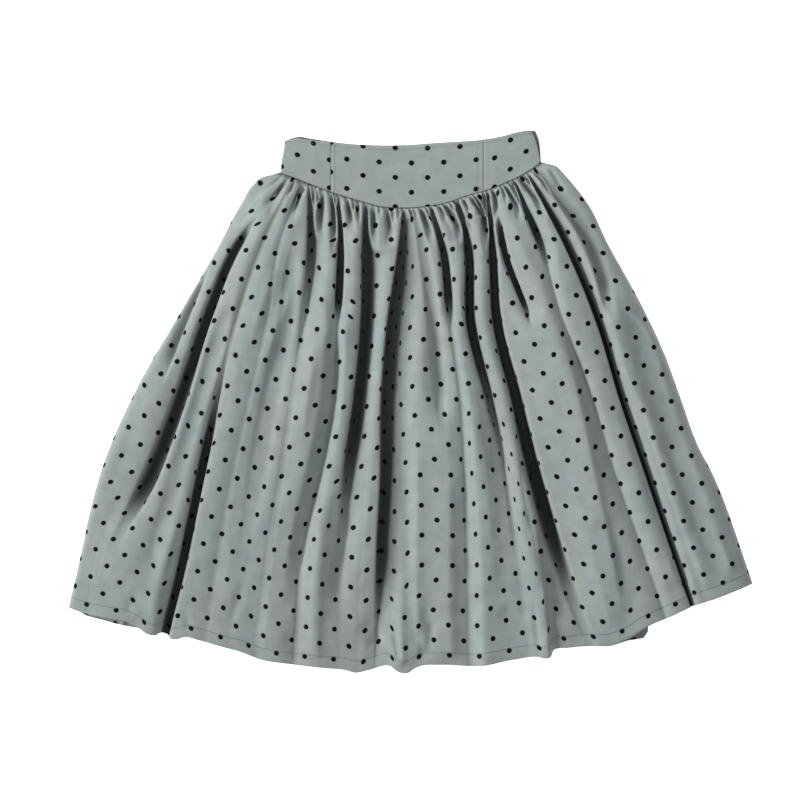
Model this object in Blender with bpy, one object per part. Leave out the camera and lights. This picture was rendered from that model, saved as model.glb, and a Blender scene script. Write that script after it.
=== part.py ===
"""A gathered skirt with a shaped yoke, laid flat on its back, in metres with +Z up.

The waist points to +Y. Every size below is a real one in millimetres. A place on the laid skirt is given as
across, from the middle of the waist to the viewer's right, and down, from the waist's highest point.
"""

from collections import namedtuple

import bpy
import numpy as np

MM = 0.001

# Driving sizes
GAP = 0.3  # between two pieces at a seam, and between layers that lie on each other
CLOTH = 1.3  # wall of the gathered panels
BACK_CLOTH = 1.5  # wall of the back panel, which lies pressed flat
HEM_TURN = 15.0  # depth of the hem that is turned up inside
HEM_CLOTH = 2.3  # wall of the hem, where the cloth is double
YOKE_CLOTH = 1.8  # wall of the yoke, which is stiffened
YOKE_SEAM_LEFT = -103.0  # across, of the seam between the yoke's left and centre pieces
YOKE_SEAM_RIGHT = 95.5  # across, of the seam between its centre and right pieces
BACK_INSET = 3.0  # how far the back panel's sides lie inside the front's
INSET_BY = 0.025  # share of the panel's length by which they do
SIDE_ROLL = 45.0  # width over which the front rises from the back at each side
ROLL_POWER = 2.2  # how squarely it rises there
YOKE_ROLL = 14.0  # width over which the yoke's ends round down
YOKE_DIP = 0.35  # how far they do

Point = namedtuple("Point", "across down")

# The waist's edge, and the right end where the back shows beside the front
WAIST = [
    Point(-163, 14.5), Point(-146, 11), Point(-130, 13), Point(-104, 16), Point(-78, 18.5),
    Point(-39, 20), Point(0, 19.5), Point(26, 17.5), Point(65, 15), Point(91, 13), Point(117, 9),
    Point(143, 2.5), Point(158.5, 2),
]
BACK_WAIST = [
    Point(-163, 14.2), Point(-146, 9), Point(-130, 11), Point(-104, 15), Point(-78, 18),
    Point(-39, 19.8), Point(0, 19.2), Point(26, 17.2), Point(65, 14.8), Point(91, 12.8),
    Point(117, 8.6), Point(143, 2), Point(156, 0.6), Point(163, 1.4),
]
YOKE_LEFT_END = [Point(-163, 14.5), Point(-164, 26), Point(-166.5, 40), Point(-167.7, 55.7)]
YOKE_RIGHT_END = [Point(158.5, 2), Point(163.5, 15), Point(166.5, 30), Point(168.6, 42.2)]
BACK_RIGHT_END = [Point(163, 1.4), Point(167.5, 13), Point(169.6, 28), Point(170.3, 42)]

# The curved seam between yoke and panels
SEAM = [
    Point(-168, 56), Point(-143, 65), Point(-117, 75.5), Point(-91, 84.5), Point(-61, 93.5),
    Point(-39, 99.5), Point(-13, 101.5), Point(26, 99), Point(52, 93.5), Point(78, 84.5),
    Point(100, 78.5), Point(127, 67.5), Point(146, 58.5), Point(170, 43),
]

# The front's two sides, each with the share of the panel's length that it has come
Side = namedtuple("Side", "share across down")
LEFT_SIDE = [
    Side(0, -168, 56), Side(0.009, -192, 61), Side(0.025, -208, 70), Side(0.062, -221, 91),
    Side(0.177, -251, 156), Side(0.325, -299, 239), Side(0.484, -351, 329), Side(0.66, -396, 429),
    Side(0.776, -415, 494), Side(0.869, -426, 546), Side(1, -443, 620),
]
RIGHT_SIDE = [
    Side(0, 170, 43), Side(0.012, 195, 49.5), Side(0.045, 212, 67.5), Side(0.095, 230, 95),
    Side(0.19, 256, 147), Side(0.333, 299, 225), Side(0.445, 328, 286), Side(0.56, 351, 348),
    Side(0.67, 373, 409), Side(0.75, 395, 452), Side(0.826, 412, 494), Side(0.917, 429, 543),
    Side(1, 444.5, 589),
]

# The front's hem with its dips where the deep folds end, and the back's, which shows at both corners
HEM = [
    Point(-443, 620), Point(-429, 625), Point(-396, 632.5), Point(-366, 638.5), Point(-351, 646),
    Point(-335, 656), Point(-320, 652), Point(-303, 661), Point(-273, 664), Point(-221, 676),
    Point(-175, 690), Point(-104, 699.5), Point(-69, 704), Point(-45, 700.5), Point(-20, 698),
    Point(-7, 704.5), Point(7, 697), Point(39, 693), Point(91, 695), Point(136, 686.5),
    Point(176, 685.5), Point(187, 675), Point(221, 669), Point(257, 669), Point(286, 658),
    Point(306, 645), Point(338, 631), Point(364, 619), Point(399, 607), Point(444.5, 589),
]
BACK_HEM = [
    Point(-438, 619), Point(-429, 626.5), Point(-396, 638), Point(-358, 646.5), Point(-303, 650),
    Point(-175, 680), Point(-60, 692), Point(60, 684), Point(150, 676), Point(221, 666),
    Point(257, 671), Point(286, 663), Point(306, 659), Point(312, 634), Point(364, 613),
    Point(439, 584),
]

# The front's folds. Each row is the valley between two ridges. The first table has its place across where it
# leaves the seam, and then at each of VALLEY_DEPTHS down.
VALLEY_DEPTHS = (150, 250, 350, 450, 550, 650)
Path = namedtuple("Path", "fold seam at150 at250 at350 at450 at550 at650")
PATHS = [
    Path("left_flank", -164, -244, -291, -329, -368, -406, -425),
    Path("left_deep", -158, -221, -263, -295, -333, -378, -396),
    Path("left_wave", -154, -205, -242, -271, -300, -327, -347),
    Path("left_long", -150, -191, -225, -250, -271, -292, -316),
    Path("left_short", -139, -169, -185, -198, -208, -217, -226),
    Path("left_low", -135, -148, -160, -170, -181, -190, -198),
    Path("left_soft", -131, -130, -138, -147, -156, -164, -172),
    Path("left_inner", -94, -90, -94, -99, -118, -139, -146),
    Path("middle_deep", -57, -57, -58, -67, -81, -88, -91),
    Path("middle_long", -8, -12, -26, -34, -35, -40, -43),
    Path("middle_soft", 5, 16, 31, 40, 39, 35, 31),
    Path("middle_short", 26, 42, 49, 53, 52, 49, 47),
    Path("right_deep", 60, 75, 79, 103, 125, 139, 152),
    Path("right_long", 100, 107, 114, 138, 162, 191, 244),
    Path("right_short", 112, 121, 156, 176, 198, 224, 256),
    Path("right_bent", 134, 170, 192, 221, 243, 263, 278),
    Path("right_lapped", 152, 202, 243, 273, 307, 341, 376),
    Path("right_flank", 163, 229, 259, 291, 326, 363, 396),
    Path("right_low", 166.5, 243, 289, 321, 357, 393, 422),
]

# In the same order: the depths down between which a valley opens and closes, how deep it is (1 reaches the
# back), how faint it is where it is closed, the half width of its left and right walls, how far each wall's top
# leans over it, how its width changes by the hem, and the height of the ridge on its right against the rest.
Shape = namedtuple(
    "Shape",
    "opens full fades closes depth faint left right lean_left lean_right narrows ridge",
)
SHAPES = [
    Shape(175, 221, 286, 351, 0.8, 0.05, 17, 9, 0, 5, 1, 0.8),
    Shape(110, 143, 422, 559, 1, 0, 20, 10, 0, 7, 1, 0.95),
    Shape(200, 300, 520, 620, 0.35, 0.05, 12, 12, 0, 0, 1.4, 1),
    Shape(280, 416, 663, 741, 0.95, 0.22, 16, 9, 0, 6, 1, 0.9),
    Shape(0, 1, 98, 156, 0.8, 0.2, 7, 7, 0, 0, 2, 0.95),
    Shape(120, 200, 420, 600, 0.35, 0.06, 9, 9, 0, 0, 1.8, 0.95),
    Shape(0, 1, 208, 305, 0.85, 0.2, 10, 15, 6, 0, 1.5, 1),
    Shape(0, 1, 208, 253, 0.95, 0.4, 11, 9, 5, 2, 1.8, 1.05),
    Shape(0, 1, 410, 598, 1, 0, 16, 14, 8, 5, 1, 0.95),
    Shape(0, 1, 598, 676, 1, 0, 14, 16, 7, 0, 1, 1),
    Shape(0, 1, 325, 403, 0.5, 0.1, 10, 10, 0, 0, 1.5, 0.95),
    Shape(0, 1, 221, 253, 0.95, 0.1, 11, 10, 5, 5, 1.4, 1.1),
    Shape(0, 1, 325, 624, 1, 0, 17, 15, 7, 4, 1, 1),
    Shape(0, 1, 559, 630, 1, 0, 13, 12, 2, 8, 1.2, 0.9),
    Shape(127, 150, 221, 253, 0.95, 0, 9, 9, 4, 4, 1, 1.05),
    Shape(0, 1, 163, 208, 0.9, 0.35, 10, 9, 2, 0, 2, 1),
    Shape(0, 1, 728, 780, 1, 0, 10, 13, 9, 0, 0.5, 0.9),
    Shape(0, 1, 208, 260, 0.6, 0.1, 8, 19, 5, 0, 1, 0.95),
    Shape(180, 280, 480, 600, 0.35, 0.05, 12, 12, 0, 0, 1.3, 0.85),
]
LEFT_RIDGE = 0.7  # height of the ridge left of them all

# The small gathers between those folds, by where each leaves the seam and how far it runs down
Gather = namedtuple("Gather", "seam length depth")
GATHERS = [
    Gather(-146, 20, 0.6), Gather(-118, 26, 0.8), Gather(-107, 23, 0.7), Gather(-77, 32, 0.8),
    Gather(-67, 16, 0.6), Gather(-43, 58, 0.85), Gather(-30, 39, 0.85), Gather(-18, 20, 0.7),
    Gather(15, 26, 0.75), Gather(35, 20, 0.7), Gather(43, 32, 0.8), Gather(69, 65, 0.8),
    Gather(79, 58, 0.75), Gather(90, 32, 0.7), Gather(122, 32, 0.7), Gather(143, 26, 0.7),
]
GATHER_WIDTH = 3.3  # half width at the seam
GATHER_SPREADS = 60.0  # distance below the seam at which it has doubled
GATHER_HOLDS, GATHER_ENDS = 0.35, 1.5  # shares of its length between which it fades

# How high the ridges stand above the valleys, by share of the panel's length
Rise = namedtuple("Rise", "share height")
RISE = [
    Rise(0, 2.5), Rise(0.03, 9), Rise(0.08, 16), Rise(0.2, 25), Rise(0.45, 27), Rise(0.75, 21), Rise(1, 14),
]

# The form that all the folds share
WALL_POWER = 3.0  # how squarely a valley's walls stand on its floor
SHOULDER = 0.42  # share of a valley's depth that lies in its wide shoulders, which round the ridges
SHOULDER_POWER = 1.8
SHOULDER_SPREAD = 3.0  # width of the shoulders against the valley's own
WALL_ROOM, SHOULDER_ROOM = 0.4, 0.5  # the most of the room to the next fold that each may take
WIDEST = 120.0  # the most room a fold looks for on each side
SHALLOW, SHALLOWEST = 1.2, 0.2  # how much a shallow neighbour counts, and the least
SEAM_WIDTH, WIDE_BY = 0.45, 0.11  # a fold's width at the seam, and the share of length where it is full
LEANS_BY = 0.125  # share of the length where the leans are full
MOST_LEAN = 0.42  # the most that a wall's top may lean, against the wall's half width
LEAN_ROOT, LEAN_REACH = 0.6, 2.2  # where a lean begins and ends, in half widths from the valley's middle
JOINING = 3.0  # how strictly the deeper of two folds rules where they meet

# Meshing
ROWS = (0, 0.015, 0.04, 0.075, 0.12, 0.18, 0.25, 0.33, 0.42, 0.52, 0.62, 0.72, 0.82, 0.91)
SPACING_ROW = 7  # the row whose stretches set how many steps each one gets
PANEL_LENGTH = 600.0  # along the cloth from seam to hem
HEM_LIFT_FROM = 0.8  # share of the length where the front starts to rise to its double hem
HEM_STEP = 0.004  # half the share of length over which the wall grows double
COLUMNS = 138  # about this many crosswise steps in the front
LEAST_COLUMNS = 4  # in each stretch between two folds
FINE = 1400  # steps used to lay out one crosswise line
BACK_COLUMNS = 44
BACK_ROWS = (0, 0.01, 0.025, 0.045, 0.07, 0.11, 0.2, 0.3, 0.42, 0.54, 0.66, 0.78, 0.9, 1)
YOKE_ROWS = 3
YOKE_STEP = 9.0  # crosswise

# Finish
SAGE = (0.33, 0.385, 0.37, 1)
CLOTH_ROUGHNESS = 0.6


def blend(values, places, at):
    """A smooth curve through values at places, read at the places in at."""
    values, places = np.asarray(values, float), np.asarray(places, float)
    slopes = np.gradient(values, places)
    k = np.clip(np.searchsorted(places, at, side="right") - 1, 0, len(places) - 2)
    step = places[k + 1] - places[k]
    t = (at - places[k]) / step
    start, end = values[k], values[k + 1]
    leaving, arriving = slopes[k] * step, slopes[k + 1] * step
    inside = (2 * t**3 - 3 * t**2 + 1) * start + (t**3 - 2 * t**2 + t) * leaving
    inside += (3 * t**2 - 2 * t**3) * end + (t**3 - t**2) * arriving
    before, after = start + t * leaving, end + (t - 1) * arriving
    return np.where(t < 0, before, np.where(t > 1, after, inside))


def run_along(points):
    """The distance of each point from the first, along the line through them."""
    return np.r_[0, np.cumsum(np.linalg.norm(np.diff(points, axis=0), axis=1))]


def line_through(points, at):
    """The across and down of a smooth line through points, at shares of its length."""
    table = np.array([(p.across, p.down) for p in points], float)
    run = run_along(table)
    return np.stack([blend(table[:, i], run / run[-1], at) for i in (0, 1)], -1)


def side_at(side, share):
    table = np.array(side, float)
    return np.array([blend(table[:, i], table[:, 0], share) for i in (1, 2)])


def patch(top, bottom, left, right, s, v):
    """Points at shares s along the crosswise line at share v, inside four edges."""
    upper, lower = line_through(top, s), line_through(bottom, s)
    start, end = side_at(left, v), side_at(right, v)
    s = s[:, None]
    flat = (1 - v) * upper + v * lower + (1 - s) * start + s * end
    high = (1 - s) * side_at(left, 0) + s * side_at(right, 0)
    low = (1 - s) * side_at(left, 1) + s * side_at(right, 1)
    return flat - (1 - v) * high - v * low


def ramp(low, high, x):
    t = np.clip((x - low) / (high - low), 0, 1)
    return t * t * (3 - 2 * t)


def room_beside(places, depths, side):
    """How far each fold has to the next one on one side, where a shallow neighbour counts as further off."""
    away = (places[None, :] - places[:, None]) * side
    reach = np.where(away > 0, away / np.clip(SHALLOW * depths, SHALLOWEST, 1), WIDEST)
    return np.minimum(reach.min(axis=1), WIDEST)


def trough(offset, width, room):
    """1 at a fold's middle, falling to 0 beyond its wall and its shoulder, within the room that it has."""
    width = np.minimum(width, WALL_ROOM * room)
    spread = np.minimum(SHOULDER_SPREAD * width, SHOULDER_ROOM * room)
    wall = np.exp(-np.abs(offset / width) ** WALL_POWER)
    shoulder = np.exp(-np.abs(offset / spread) ** SHOULDER_POWER)
    return (1 - SHOULDER) * wall + SHOULDER * shoulder, width


def valley_crossings(flat, v):
    """Where each valley crosses a crosswise line, as a share of its fine steps."""
    seam = line_through(SEAM, np.linspace(0, 1, FINE))
    places = []
    for path in PATHS:
        seam_down = np.interp(path.seam, seam[:, 0], seam[:, 1])
        across = blend(path[1:], (seam_down, *VALLEY_DEPTHS), flat[:, 1])
        beyond = flat[:, 0] - (across if v else path.seam)
        k = max(int(np.argmax(beyond > 0)), 1)
        places.append(k - 1 - beyond[k - 1] / (beyond[k] - beyond[k - 1]))
    return np.array(places)


def all_marks(run, crossings, seam_run, seam_crossings):
    """Distances along one crosswise line of its two ends, its valleys and the small gathers between them."""
    steps = np.arange(len(run))
    valleys = np.r_[0, np.interp(crossings, steps, run), run[-1]]
    at_seam = np.r_[0, np.interp(seam_crossings, steps, seam_run), seam_run[-1]]
    seam = line_through(SEAM, np.linspace(0, 1, FINE))
    gathers = np.interp([g.seam for g in GATHERS], seam[:, 0], seam_run)
    small = np.interp(gathers, at_seam, valleys)
    return valleys, small, np.sort(np.r_[valleys, small])


def folds_at(v, flat, run, valleys, small):
    """Every fold that crosses the line at share v: its place, depth, half widths and leans."""
    folds = []
    widened = min(1, SEAM_WIDTH + (1 - SEAM_WIDTH) * v / WIDE_BY)
    for shape, place in zip(SHAPES, valleys[1:-1]):
        down = np.interp(place, run, flat[:, 1])
        opened = ramp(shape.opens, shape.full, down) * (1 - ramp(shape.fades, shape.closes, down))
        depth = shape.faint + (shape.depth - shape.faint) * opened
        scale = (1 - v + shape.narrows * v) * widened
        lean = opened * min(1, v / LEANS_BY)
        walls = shape.left * scale, shape.right * scale
        folds.append((place, depth, *walls, shape.lean_left * lean, shape.lean_right * lean))
    below = v * PANEL_LENGTH
    for gather, place in zip(GATHERS, small):
        fading = ramp(GATHER_HOLDS * gather.length, GATHER_ENDS * gather.length, below)
        width = GATHER_WIDTH * (1 + below / GATHER_SPREADS)
        folds.append((place, gather.depth * (1 - fading), width, width, 0, 0))
    return np.array(sorted(folds)).T


def crosswise_line(v, seam_run, seam_crossings, hem):
    """The front's middle surface at share v: fine points, their marks and the run along them."""
    flat = patch(SEAM, HEM, LEFT_SIDE, RIGHT_SIDE, np.linspace(0, 1, FINE), v)
    run = run_along(flat)
    crossings = valley_crossings(flat, v)
    valleys, small, marks = all_marks(run, crossings, seam_run, seam_crossings)
    ridges = [LEFT_RIDGE] + [shape.ridge for shape in SHAPES]
    height = blend([r.height for r in RISE], [r.share for r in RISE], v)
    rise = height * np.interp(run, (valleys[1:] + valleys[:-1]) / 2, ridges)
    edge = np.minimum(np.minimum(run, run[-1] - run) / min(SIDE_ROLL, run[-1] / 2), 1)
    rise *= np.sqrt(1 - (1 - edge) ** ROLL_POWER)
    places, depths, lefts, rights, lean_lefts, lean_rights = folds_at(v, flat, run, valleys, small)
    room_left, room_right = (room_beside(places, depths, side) for side in (-1, 1))
    offset = run[:, None] - places
    before = offset < 0
    dip, width = trough(offset, np.where(before, lefts, rights), np.where(before, room_left, room_right))
    closed = ((depths * dip) ** JOINING).sum(axis=1) ** (1 / JOINING)
    open_share = np.maximum(1 - closed, 0)
    near = np.exp(-((offset / (LEAN_REACH * width)) ** 2)) * np.tanh(np.abs(offset) / (LEAN_ROOT * width))
    most = MOST_LEAN * width
    lean = np.where(before, np.minimum(lean_lefts, most), -np.minimum(lean_rights, most))
    shift = (lean * near).sum(axis=1) * open_share
    along = np.gradient(flat, run, axis=0)
    along /= np.hypot(*along.T)[:, None]
    flat = flat + along * shift[:, None]
    floor = BACK_CLOTH + GAP + CLOTH / 2 + hem * (HEM_CLOTH - CLOTH)
    points = np.column_stack([flat, floor + rise * open_share])
    length = run_along(points)
    return points, np.interp(marks, run, length), length


def front_rows():
    """The rows of the front's middle surface with the inner thickness of each."""
    seam = line_through(SEAM, np.linspace(0, 1, FINE))
    seam_run = run_along(seam)
    seam_crossings = valley_crossings(seam, 0)
    turn = 1 - HEM_TURN / PANEL_LENGTH
    shares = [*ROWS, turn - HEM_STEP, turn + HEM_STEP, 1]
    lines = [crosswise_line(v, seam_run, seam_crossings, ramp(HEM_LIFT_FROM, turn, v)) for v in shares]
    stretches = np.diff(lines[SPACING_ROW][1])
    counts = np.maximum(LEAST_COLUMNS, np.round(stretches * COLUMNS / stretches.sum())).astype(int)
    rows = []
    for points, marks, length in lines:
        spans = zip(marks, marks[1:], counts)
        stops = np.concatenate([np.linspace(a, b, n, endpoint=False) for a, b, n in spans])
        stops = np.r_[stops, length[-1]]
        rows.append(np.stack([np.interp(stops, length, points[:, i]) for i in range(3)], -1))
    inner = [CLOTH / 2 + (HEM_CLOTH - CLOTH) * (v > turn) for v in shares]
    return np.array(rows), np.array(inner)


def upward(grid):
    """Unit normals of a grid of points in across, down and up, evened out, upright along its four edges."""
    by_row, by_column = np.gradient(grid, axis=0), np.gradient(grid, axis=1)
    normal = np.cross(by_column, by_row)
    normal *= np.sign(normal[..., 2:].mean())
    normal /= np.linalg.norm(normal, axis=-1, keepdims=True)
    normal[1:-1] = (normal[:-2] + 2 * normal[1:-1] + normal[2:]) / 4
    normal[:, 1:-1] = (normal[:, :-2] + 2 * normal[:, 1:-1] + normal[:, 2:]) / 4
    normal /= np.linalg.norm(normal, axis=-1, keepdims=True)
    normal[[0, -1]] = (0, 0, 1)
    normal[:, [0, -1]] = (0, 0, 1)
    return normal


def wall(name, outer, inner):
    """A closed wall between two grids of points of the same size, made into an object."""
    rows, columns = outer.shape[:2]
    middle_across = (LEFT_SIDE[-1].across + RIGHT_SIDE[-1].across) / 2
    middle_down = (max(p.down for p in HEM) + min(p.down for p in BACK_WAIST)) / 2
    points = np.concatenate([outer.reshape(-1, 3), inner.reshape(-1, 3)])
    places = np.column_stack([points[:, 0] - middle_across, middle_down - points[:, 1], points[:, 2]]) * MM
    index = np.arange(rows * columns).reshape(rows, columns)
    below = rows * columns
    faces = []
    for i in range(rows - 1):
        for j in range(columns - 1):
            a, b, c, d = index[i, j], index[i + 1, j], index[i + 1, j + 1], index[i, j + 1]
            faces += [(a, b, c), (a, c, d)]
            a, b, c, d = a + below, b + below, c + below, d + below
            faces += [(a, c, b), (a, d, c)]
    rim = [*index[:, 0], *index[-1, 1:], *index[-2::-1, -1], *index[0, -2:0:-1]]
    for a, b in zip(rim, rim[1:] + rim[:1]):
        faces += [(b, a, a + below), (b, a + below, b + below)]
    mesh = bpy.data.meshes.new(name)
    mesh.from_pydata(places.tolist(), [], [tuple(int(k) for k in f) for f in faces])
    mesh.validate()
    mesh.shade_smooth()
    piece = bpy.data.objects.new(name, mesh)
    bpy.context.collection.objects.link(piece)
    mesh.materials.append(cloth_material(name))
    return piece


def cloth_material(name):
    material = bpy.data.materials.new(name + "_cloth")
    material.use_nodes = True
    shader = material.node_tree.nodes["Principled BSDF"]
    shader.inputs["Base Color"].default_value = SAGE
    shader.inputs["Roughness"].default_value = CLOTH_ROUGHNESS
    shader.inputs["Metallic"].default_value = 0
    return material


def make_skirt_front():
    middle, inner = front_rows()
    normal = upward(middle)
    return wall("skirt_front", middle + normal * CLOTH / 2, middle - normal * inner[:, None, None])


def back_side(side, corner, inward):
    """The back panel's side: the front's, moved inward, and ending at the back's own corner."""
    moved = [p._replace(across=p.across + inward * min(1, p.share / INSET_BY)) for p in side[:-1]]
    return [*moved, Side(1, corner.across, corner.down)]


def make_skirt_back():
    left = back_side(LEFT_SIDE, BACK_HEM[0], BACK_INSET)
    right = back_side(RIGHT_SIDE, BACK_HEM[-1], -BACK_INSET)
    s = np.linspace(0, 1, BACK_COLUMNS + 1)
    plan = np.array([patch(SEAM, BACK_HEM, left, right, s, v) for v in BACK_ROWS])
    top = np.concatenate([plan, np.full(plan.shape[:2] + (1,), BACK_CLOTH)], -1)
    return wall("skirt_back", top, top * (1, 1, 0))


def end_of_yoke(points):
    return [Side(i / (len(points) - 1), p.across, p.down) for i, p in enumerate(points)]


def yoke_piece(name, waist, left_end, right_end, low, thick, start=None, stop=None):
    """A yoke piece between across start and stop, from the waist's edge to just short of the seam."""
    left, right = end_of_yoke(left_end), end_of_yoke(right_end)
    bottom_edge = [p._replace(down=p.down - GAP) for p in SEAM]
    fine = np.linspace(0, 1, FINE)
    width = (waist[-1].across if stop is None else stop) - (waist[0].across if start is None else start)
    rows = []
    for v in np.linspace(0, 1, YOKE_ROWS + 1):
        line = patch(waist, bottom_edge, left, right, fine, v)
        first = line[0, 0] if start is None else start
        last = line[-1, 0] if stop is None else stop
        across = np.linspace(first, last, round(width / YOKE_STEP) + 1)
        rows.append(np.column_stack([across, np.interp(across, line[:, 0], line[:, 1])]))
    plan = np.array(rows)
    across = plan[..., 0]
    from_left = across - across[:, :1] if start is None else YOKE_ROLL
    from_right = across[:, -1:] - across if stop is None else YOKE_ROLL
    inside = np.clip(np.minimum(from_left, from_right) / YOKE_ROLL, 0, 1) * np.ones(across.shape)
    bottom = np.concatenate([plan, np.full(across.shape + (1,), low)], -1)
    top = bottom.copy()
    top[..., 2] += thick - YOKE_DIP * (1 - inside) ** 2
    return wall(name, top, bottom)


def make_yoke():
    yoke_piece("yoke_back", BACK_WAIST, YOKE_LEFT_END, BACK_RIGHT_END, 0, BACK_CLOTH)
    front = (WAIST, YOKE_LEFT_END, YOKE_RIGHT_END, BACK_CLOTH + GAP, YOKE_CLOTH)
    yoke_piece("yoke_front_left", *front, stop=YOKE_SEAM_LEFT - GAP / 2)
    yoke_piece("yoke_front_centre", *front, start=YOKE_SEAM_LEFT + GAP / 2, stop=YOKE_SEAM_RIGHT - GAP / 2)
    yoke_piece("yoke_front_right", *front, start=YOKE_SEAM_RIGHT + GAP / 2)


def main():
    for thing in list(bpy.data.objects):
        bpy.data.objects.remove(thing)
    make_skirt_front()
    make_skirt_back()
    make_yoke()


main()
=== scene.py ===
import math

import bpy
import numpy as np
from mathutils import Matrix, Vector


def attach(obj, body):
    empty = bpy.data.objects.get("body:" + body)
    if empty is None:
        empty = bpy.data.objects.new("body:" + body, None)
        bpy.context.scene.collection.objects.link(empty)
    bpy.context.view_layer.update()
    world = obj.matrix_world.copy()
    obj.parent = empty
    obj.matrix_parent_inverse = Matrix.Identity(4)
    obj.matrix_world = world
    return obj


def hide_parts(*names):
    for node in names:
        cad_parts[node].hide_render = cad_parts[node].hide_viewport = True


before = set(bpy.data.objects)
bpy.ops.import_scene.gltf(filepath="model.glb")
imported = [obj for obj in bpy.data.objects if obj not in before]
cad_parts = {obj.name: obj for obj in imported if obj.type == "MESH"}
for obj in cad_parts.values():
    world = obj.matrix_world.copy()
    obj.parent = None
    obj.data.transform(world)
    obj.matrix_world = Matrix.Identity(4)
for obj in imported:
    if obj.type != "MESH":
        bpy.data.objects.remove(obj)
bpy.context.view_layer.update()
print("frame loaded:", len(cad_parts), "nodes")

mm = 0.001
tiny = 1e-9  # keeps a length of nothing from dividing

# Places are (across, down) in millimetres: across from the middle of the waist, down from its highest point.
layout = {
    "middle": (0.75, 352.55),  # the place that lies at the frame's origin
    "gap": 0.3,  # between layers that lie on each other
    "wall": 1.3,
    "backWall": 1.5,
    "backSeamUp": 1.4,  # above the front's, out of sight
    "seam": [
        (-168, 56), (-143, 65), (-117, 75.5), (-91, 84.5), (-61, 93.5), (-39, 99.5), (-13, 101.5),
        (26, 99), (52, 93.5), (78, 84.5), (100, 78.5), (127, 67.5), (146, 58.5), (170, 43),
    ],
    # each side's rows are share of the length, across, down
    "leftSide": [
        (0, -168, 56), (0.009, -190, 61), (0.025, -202, 70), (0.062, -216, 91), (0.177, -251, 156),
        (0.325, -299, 239), (0.484, -351, 329), (0.66, -396, 429), (0.776, -415, 494),
        (0.869, -426, 546), (1, -443, 620),
    ],
    "rightSide": [
        (0, 170, 43), (0.012, 187, 46), (0.026, 197, 54.5), (0.045, 209, 68), (0.095, 230, 95), (0.19, 256, 147),
        (0.333, 299, 225), (0.445, 328, 286), (0.56, 351, 348), (0.67, 373, 409), (0.75, 395, 452),
        (0.826, 412, 494), (0.917, 429, 543), (1, 444.5, 589),
    ],
    "hem": [
        (-443, 620), (-429, 625), (-396, 632.5), (-366, 638.5), (-351.5, 646.5), (-338, 655), (-331, 656),
        (-322, 652.3), (-316, 654), (-309, 660), (-302, 660.5), (-293, 657.5), (-273, 662), (-247, 669.5),
        (-221, 676.5), (-193, 687), (-154, 693), (-110, 698), (-84, 700.5), (-70.5, 704), (-54, 700.5),
        (-25, 695.5), (-18, 701.5), (-9.5, 704.6), (-2, 704), (5.5, 698.5), (14, 695), (39, 693.5), (91, 695),
        (136, 686.5), (165, 683), (177, 685), (182, 683.5), (186, 675), (206, 671.5), (230, 669.5),
        (257, 669), (286, 658), (306, 645), (338, 631), (364, 619), (399, 607), (444.5, 589),
    ],
}

layout["backSeam"] = [(x, y - layout["backSeamUp"]) for x, y in layout["seam"]]


def blend(values, places, at):  # a smooth curve through values at places, read at the places in at
    values, places = np.asarray(values, float), np.asarray(places, float)
    slopes = np.gradient(values, places)
    k = np.clip(np.searchsorted(places, at, side="right") - 1, 0, len(places) - 2)
    step = places[k + 1] - places[k]
    t = (at - places[k]) / step
    start, end = values[k], values[k + 1]
    leaving, arriving = slopes[k] * step, slopes[k + 1] * step
    inside = (2 * t**3 - 3 * t**2 + 1) * start + (t**3 - 2 * t**2 + t) * leaving
    inside += (3 * t**2 - 2 * t**3) * end + (t**3 - t**2) * arriving
    before, after = start + t * leaving, end + (t - 1) * arriving
    return np.where(t < 0, before, np.where(t > 1, after, inside))


def runAlong(points):
    return np.r_[0, np.cumsum(np.linalg.norm(np.diff(points, axis=0), axis=1))]


def pointsAt(places, run, line):  # a line's points at places along its run
    return np.stack([np.interp(places, run, column) for column in np.transpose(line)], -1)


def middlesOf(values):
    return (values[1:] + values[:-1]) / 2


def unit(vectors):
    return vectors / np.maximum(np.linalg.norm(vectors, axis=-1, keepdims=True), tiny)


def lineThrough(points, at):
    table = np.array(points, float)
    run = runAlong(table)
    return np.stack([blend(table[:, i], run / run[-1], at) for i in (0, 1)], -1)


def sideAt(side, share):
    table = np.array(side, float)
    return np.array([blend(table[:, i], table[:, 0], share) for i in (1, 2)])


def patch(top, bottom, left, right, s, v):  # the crosswise line at share v, inside four edges
    upper, lower = lineThrough(top, s), lineThrough(bottom, s)
    start, end = sideAt(left, v), sideAt(right, v)
    s = s[:, None]
    flat = (1 - v) * upper + v * lower + (1 - s) * start + s * end
    high = (1 - s) * sideAt(left, 0) + s * sideAt(right, 0)
    low = (1 - s) * sideAt(left, 1) + s * sideAt(right, 1)
    return flat - (1 - v) * high - v * low


def ramp(low, high, x):
    t = np.clip((x - low) / (high - low), 0, 1)
    return t * t * (3 - 2 * t)


def softNoise(u, v, seed):  # smooth, between about -1 and 1, one cell to each unit of u and v
    cells = 64
    grid = np.random.RandomState(seed).uniform(-1, 1, (cells, cells))
    i, j = np.floor(u).astype(int), np.floor(v).astype(int)
    a, b = u - i, v - j
    a, b = a * a * (3 - 2 * a), b * b * (3 - 2 * b)
    near, far = (grid[i % cells, k % cells] * (1 - a) + grid[(i + 1) % cells, k % cells] * a for k in (j, j + 1))
    return near * (1 - b) + far * b


def layered(across, down, layers):  # layers of noise: cell across and down, start across and down, seed, share
    return sum(part * softNoise(across / wide + u, down / tall + v, seed) for wide, tall, u, v, seed, part in layers)


def toFrame(points):  # across, down and up in millimetres, to the frame's metres
    middleAcross, middleDown = layout["middle"]
    points = np.asarray(points, float).reshape(-1, 3)
    return np.column_stack([points[:, 0] - middleAcross, middleDown - points[:, 1], points[:, 2]]) * mm


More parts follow.
